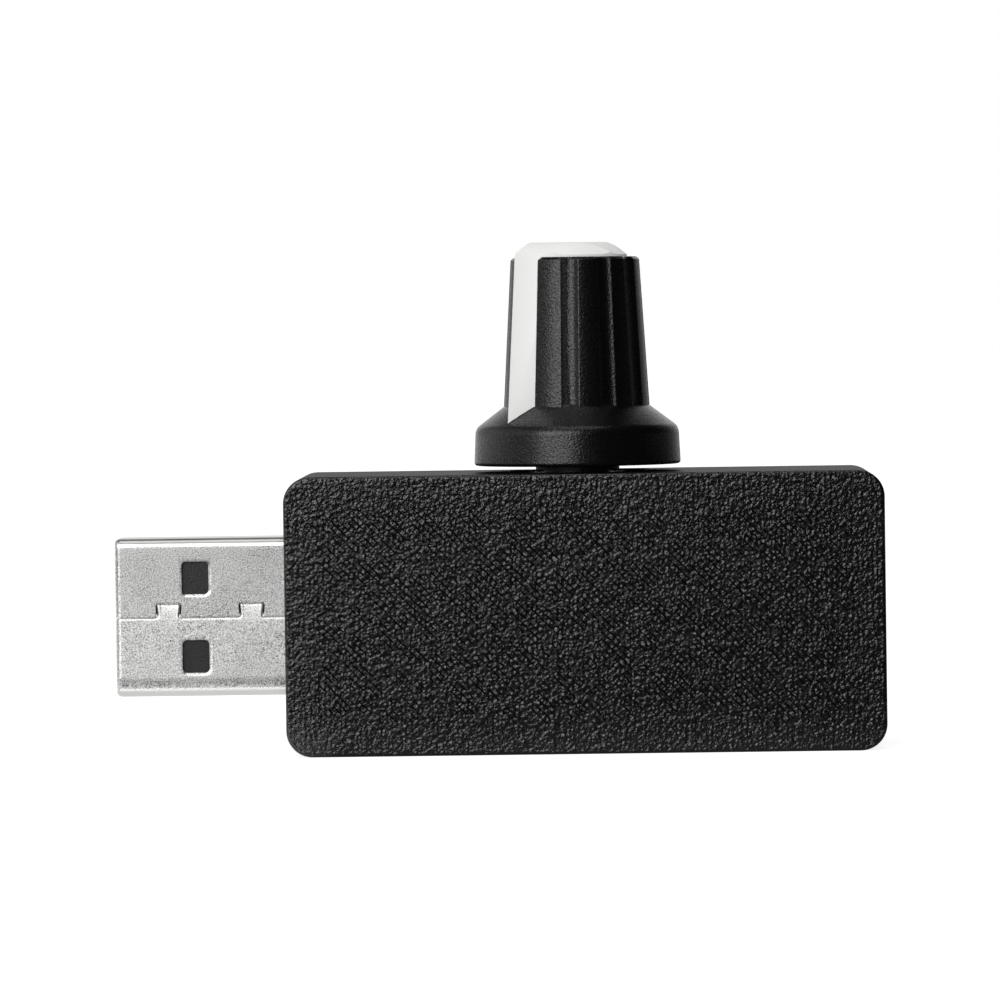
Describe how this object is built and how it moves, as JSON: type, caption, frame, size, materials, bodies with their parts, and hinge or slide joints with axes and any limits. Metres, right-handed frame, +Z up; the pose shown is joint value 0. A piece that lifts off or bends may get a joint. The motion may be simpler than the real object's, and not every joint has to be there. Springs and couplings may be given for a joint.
{
  "type": "usb fan speed controller",
  "caption": "In-line USB speed controller for a small fan: a printed box with a USB-A plug and socket on its ends and a flanged, fluted knob with a pointer on top.",
  "frame": {"origin": "centre of the case's bottom face", "axes": "+X from the plug to the socket, +Y from the textured front face to the rear cover, +Z up along the knob's axis"},
  "size_m": [0.0581, 0.016, 0.0384],
  "materials": {
    "case_black": "printed, pebbled on the faces and smooth on the sides",
    "board_green": "solder mask",
    "nickel_shell": "matte nickel plate",
    "carrier_black": "moulded",
    "carrier_white": "moulded",
    "gold_contact": "gold flash",
    "plated_steel": "plated",
    "phenolic": "laminate",
    "carbon_track": "printed carbon",
    "tinned_lead": "tinned",
    "shaft_dark": "moulded",
    "knob_black": "satin, finely grained",
    "knob_white": "satin",
    "chip_black": "moulded epoxy",
    "can_aluminium": "bare can",
    "ceramic_tan": "fired"
  },
  "bodies": {
    "case": {"front_shell": "case_black", "rear_cover": "case_black", "circuit_board": "board_green", "usb_plug_shell": "nickel_shell", "usb_plug_carrier": "carrier_black", "usb_plug_contacts": "gold_contact", "usb_socket_shell": "nickel_shell", "usb_socket_carrier": "carrier_white", "usb_socket_contacts": "gold_contact", "pot_frame": "plated_steel", "pot_bushing": "plated_steel", "pot_housing": "carrier_black", "pot_wafer": "phenolic", "pot_track": "carbon_track", "pot_terminals": "tinned_lead", "control_chip": "chip_black", "power_transistor": "chip_black", "flyback_diode": "chip_black", "filter_capacitor": "can_aluminium", "ceramic_capacitors": "ceramic_tan", "resistors": "chip_black"},
    "knob": {"knob_sleeve": "knob_black", "knob_core": "knob_white", "pot_shaft": "shaft_dark", "pot_rotor": "carrier_white", "pot_wiper": "gold_contact"}
  },
  "joints": [
    {"name": "knob_turn", "type": "hinge", "parent": "case", "child": "knob", "pos_m": [-0.00045, 0, 0.0215], "axis": [0, 0, 1], "range_deg": [-94, 186]}
  ]
}
